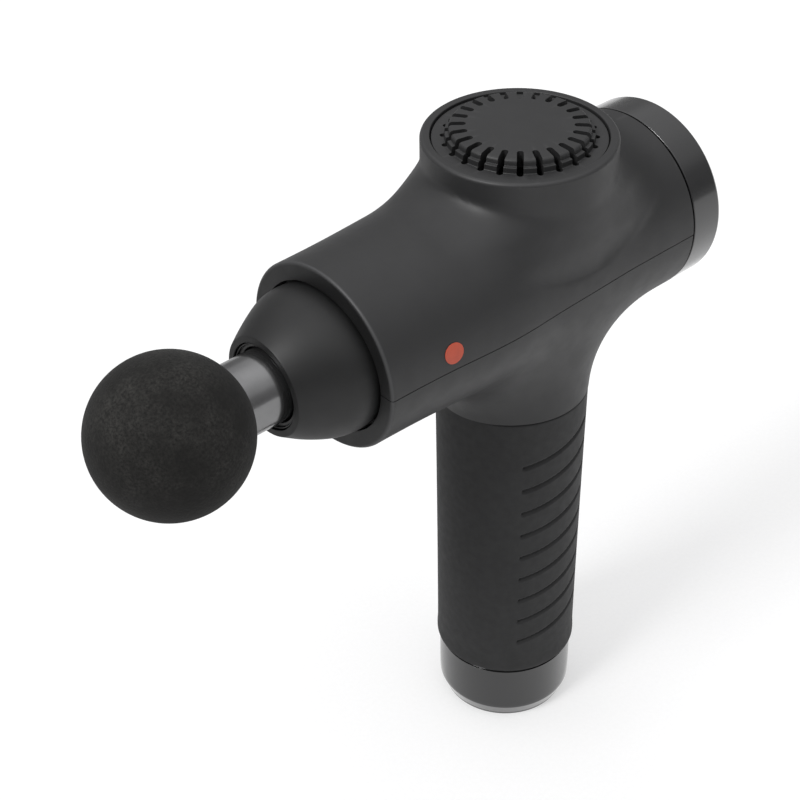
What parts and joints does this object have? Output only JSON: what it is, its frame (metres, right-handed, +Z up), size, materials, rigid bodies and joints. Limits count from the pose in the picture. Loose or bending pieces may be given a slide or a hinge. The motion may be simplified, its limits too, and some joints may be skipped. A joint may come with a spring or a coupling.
{
  "type": "massage gun",
  "caption": "Handheld percussion massager: round barrel on a battery handle, a crank and yoke driving a ball head on a push-fit stem, cooling vent on top.",
  "frame": {"origin": "centre of the base's flat underside, on the handle's axis", "axes": "+Z up the handle towards the vent, -Y along the barrel towards the massage head, X across"},
  "size_m": [0.0682, 0.229, 0.2382],
  "materials": {
    "soft_plastic": "soft-touch charcoal",
    "gloss_plastic": "satin gloss dark grey",
    "stem_plastic": "satin dark grey",
    "foam": "fine-grained closed foam",
    "grip_rubber": "matte silicone",
    "black_rubber": "black rubber",
    "lens_glass": "black glass",
    "steel": "bright steel",
    "aluminium": "cast aluminium",
    "copper": "enamelled copper wire",
    "bronze": "sintered bronze",
    "white_plastic": "white nylon",
    "board": "green circuit board",
    "cell_wrap": "blue shrink wrap",
    "accent": "red-orange",
    "cable_red": "red insulation",
    "cable_black": "black insulation"
  },
  "bodies": {
    "housing": {"upper_shell": "soft_plastic", "lower_shell": "soft_plastic", "nose_cone": "soft_plastic", "nose_seal": "black_rubber", "vent_cap": "soft_plastic", "dust_screen": "black_rubber", "rear_cap": "gloss_plastic", "display_lens": "lens_glass", "display_board": "board", "control_board": "board", "accent_dot": "accent", "drive_frame": "aluminium", "guide_cylinder": "aluminium", "front_bush": "bronze", "rear_bush": "bronze", "front_damper": "black_rubber", "left_damper": "black_rubber", "right_damper": "black_rubber", "motor_mount": "aluminium", "stator_core": "steel", "stator_winding": "copper", "lower_bearing": "steel", "upper_bearing": "steel", "motor_screw_1": "steel", "motor_screw_2": "steel", "motor_screw_3": "steel", "motor_screw_4": "steel", "handle_tube": "soft_plastic", "grip_sleeve": "grip_rubber", "base_cap": "gloss_plastic", "foot_ring": "black_rubber", "charge_port": "black_rubber", "base_screw_1": "steel", "base_screw_2": "steel", "battery_cell_1": "cell_wrap", "battery_cell_2": "cell_wrap", "battery_cell_3": "cell_wrap", "battery_cell_4": "cell_wrap", "battery_cell_5": "cell_wrap", "battery_cell_6": "cell_wrap", "top_cell_holder": "black_rubber", "middle_cell_holder": "black_rubber", "battery_board": "board", "battery_cable": "cable_red", "motor_cable": "cable_black"},
    "rotor": {"rotor_can": "steel", "magnet_ring": "steel", "motor_shaft": "steel", "cooling_fan": "white_plastic", "crank_disc": "steel", "crank_pin": "steel", "pin_roller": "steel"},
    "plunger": {"plunger": "aluminium", "yoke": "aluminium", "yoke_pin": "steel"},
    "head": {"head_stem": "stem_plastic", "head_ball": "foam", "stem_o_ring_1": "black_rubber", "stem_o_ring_2": "black_rubber"},
    "rocker": {"power_rocker": "gloss_plastic"}
  },
  "joints": [
    {"name": "crank_turn", "type": "hinge", "parent": "housing", "child": "rotor", "pos_m": [0, 0, 0.1986], "axis": [0, 0, 1], "range_deg": [-90, 90]},
    {"name": "plunger_stroke", "type": "slide", "parent": "housing", "child": "plunger", "axis": [0, -1, 0], "range_m": [-0.006, 0.006]},
    {"name": "head_pull", "type": "slide", "parent": "plunger", "child": "head", "axis": [0, -1, 0], "range_m": [0, 0.035]},
    {"name": "rocker_tilt", "type": "hinge", "parent": "housing", "child": "rocker", "pos_m": [0, 0.005, 0.0038], "axis": [0, 1, 0], "range_deg": [0, 12]}
  ],
  "couplings": [
    {"joint": "plunger_stroke", "follows": "crank_turn", "m_per_rad": 0.003819}
  ]
}
